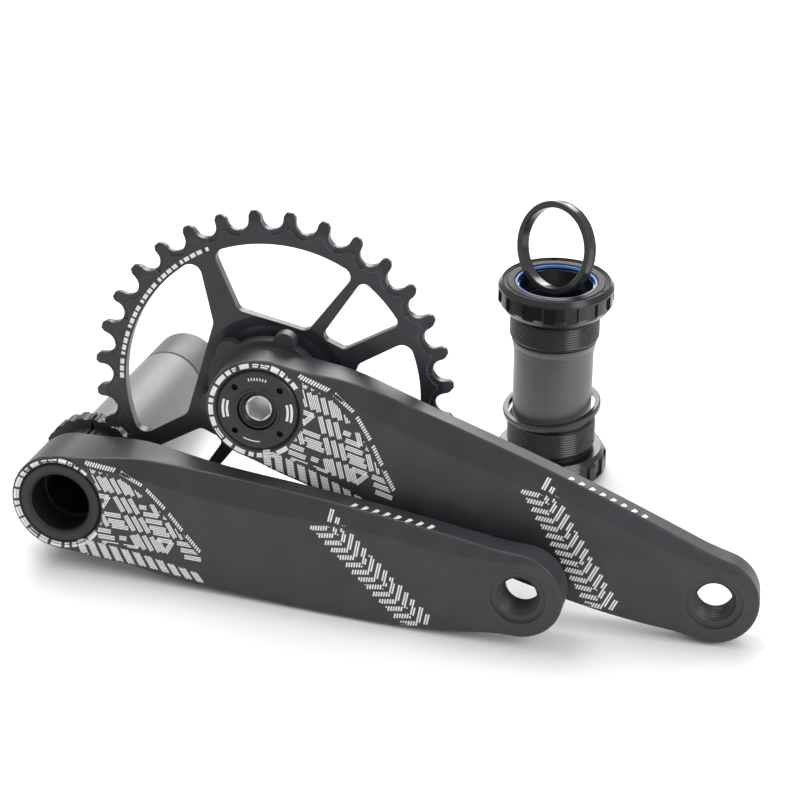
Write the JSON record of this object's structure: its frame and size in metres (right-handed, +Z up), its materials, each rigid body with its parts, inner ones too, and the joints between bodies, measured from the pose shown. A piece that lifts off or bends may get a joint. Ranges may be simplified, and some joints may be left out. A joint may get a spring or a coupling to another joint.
{
  "type": "bicycle crankset",
  "caption": "Bicycle crankset in its separate units: left crank with hollow spindle, right crank with narrow-wide chainring, and a threaded bottom bracket with bearings and spacers.",
  "frame": {"origin": "on the floor, at the centre of the bounding box of all the units", "axes": "+X along the chainring plane towards the pedal ends, +Y from the arms' outer faces towards the spindle's free end, +Z up from the floor the units lie on"},
  "size_m": [0.2762, 0.1652, 0.1341],
  "materials": {
    "arm_black": "fine bead-blasted black anodised",
    "ring_black": "satin black anodised",
    "bolt_steel": "bright machined steel",
    "cap_black": "satin black anodised",
    "spindle_grey": "matt light grey anodised",
    "adjuster_black": "moulded black",
    "plain_plastic": "smooth black",
    "cup_black": "gloss black anodised",
    "race_steel": "ground bearing steel",
    "cage_plastic": "natural nylon",
    "shield_rubber": "smooth black rubber",
    "cover_black": "moulded gloss black",
    "seal_blue": "smooth blue",
    "sleeve_grey": "moulded grey",
    "spacer_black": "polished black anodised"
  },
  "bodies": {
    "drive_crank": {"drive_arm": "arm_black", "chainring": "ring_black", "chainring_bolts": "bolt_steel", "extractor_cap": "cap_black", "bolt_washer": "bolt_steel"},
    "crank_bolt": {"crank_bolt": "bolt_steel"},
    "non_drive_crank": {"non_drive_arm": "arm_black", "spindle": "spindle_grey"},
    "preload_adjuster": {"preload_adjuster": "adjuster_black"},
    "pinch_screw": {"pinch_screw": "bolt_steel"},
    "preload_washer": {"preload_washer": "plain_plastic"},
    "left_cup": {"left_cup": "cup_black", "left_outer_race": "race_steel", "left_bearing_shields": "shield_rubber", "left_dust_cover": "cover_black", "left_cover_seal": "seal_blue"},
    "left_inner_race": {"left_inner_race": "race_steel"},
    "left_ball_set": {"left_bearing_balls": "race_steel", "left_bearing_cage": "cage_plastic"},
    "right_cup": {"right_cup": "cup_black", "right_outer_race": "race_steel", "right_bearing_shields": "shield_rubber", "right_dust_cover": "cover_black", "right_cover_seal": "seal_blue", "bracket_sleeve": "sleeve_grey", "sleeve_o_rings": "shield_rubber"},
    "right_inner_race": {"right_inner_race": "race_steel"},
    "right_ball_set": {"right_bearing_balls": "race_steel", "right_bearing_cage": "cage_plastic"},
    "shell_spacer": {"shell_spacer": "spacer_black"},
    "spindle_spacer": {"spindle_spacer": "spacer_black"}
  },
  "joints": [
    {"name": "crank_bolt_turn", "type": "hinge", "parent": "drive_crank", "child": "crank_bolt", "pos_m": [-0.04423, -0.05268, 0.06982], "axis": [0, -0.9938, 0.1115], "continuous": true},
    {"name": "non_drive_crank_draw", "type": "slide", "parent": "drive_crank", "child": "non_drive_crank", "axis": [-0.0696, -0.9946, 0.0767], "range_m": [0, 0.16]},
    {"name": "preload_adjuster_turn", "type": "hinge", "parent": "non_drive_crank", "child": "preload_adjuster", "pos_m": [-0.11749, -0.03466, 0.02543], "axis": [-0.0696, -0.9946, 0.0767], "range_deg": [-720, 0]},
    {"name": "preload_washer_advance", "type": "slide", "parent": "non_drive_crank", "child": "preload_washer", "axis": [0.0696, 0.9946, -0.0767], "range_m": [0, 0.003]},
    {"name": "pinch_screw_turn", "type": "hinge", "parent": "preload_adjuster", "child": "pinch_screw", "pos_m": [-0.11585, -0.02254, 0.04203], "axis": [0.9963, -0.0732, -0.0452], "range_deg": [0, 360]},
    {"name": "left_cup_lift", "type": "slide", "parent": "drive_crank", "child": "left_cup", "axis": [0, 0, 1], "range_m": [0, 0.12]},
    {"name": "left_bearing_turn", "type": "hinge", "parent": "left_cup", "child": "left_inner_race", "pos_m": [0.05107, 0.04917, 0.0059], "axis": [0, 0, 1], "continuous": true},
    {"name": "left_balls_turn", "type": "hinge", "parent": "left_cup", "child": "left_ball_set", "pos_m": [0.05107, 0.04917, 0.0059], "axis": [0, 0, 1], "continuous": true},
    {"name": "right_cup_lift", "type": "slide", "parent": "left_cup", "child": "right_cup", "axis": [0, 0, 1], "range_m": [0, 0.12]},
    {"name": "right_bearing_turn", "type": "hinge", "parent": "right_cup", "child": "right_inner_race", "pos_m": [0.05107, 0.04917, 0.0777], "axis": [0, 0, 1], "continuous": true},
    {"name": "right_balls_turn", "type": "hinge", "parent": "right_cup", "child": "right_ball_set", "pos_m": [0.05107, 0.04917, 0.0777], "axis": [0, 0, 1], "continuous": true},
    {"name": "shell_spacer_lift", "type": "slide", "parent": "left_cup", "child": "shell_spacer", "axis": [0, 0, 1], "range_m": [0, 0.018]},
    {"name": "spindle_spacer_lift", "type": "slide", "parent": "right_cup", "child": "spindle_spacer", "axis": [0, 0, 1], "range_m": [0, 0.06]}
  ],
  "couplings": [
    {"joint": "preload_washer_advance", "follows": "preload_adjuster_turn", "m_per_rad": -0.00023873},
    {"joint": "left_balls_turn", "follows": "left_bearing_turn", "ratio": 0.4551},
    {"joint": "right_balls_turn", "follows": "right_bearing_turn", "ratio": 0.4551}
  ]
}
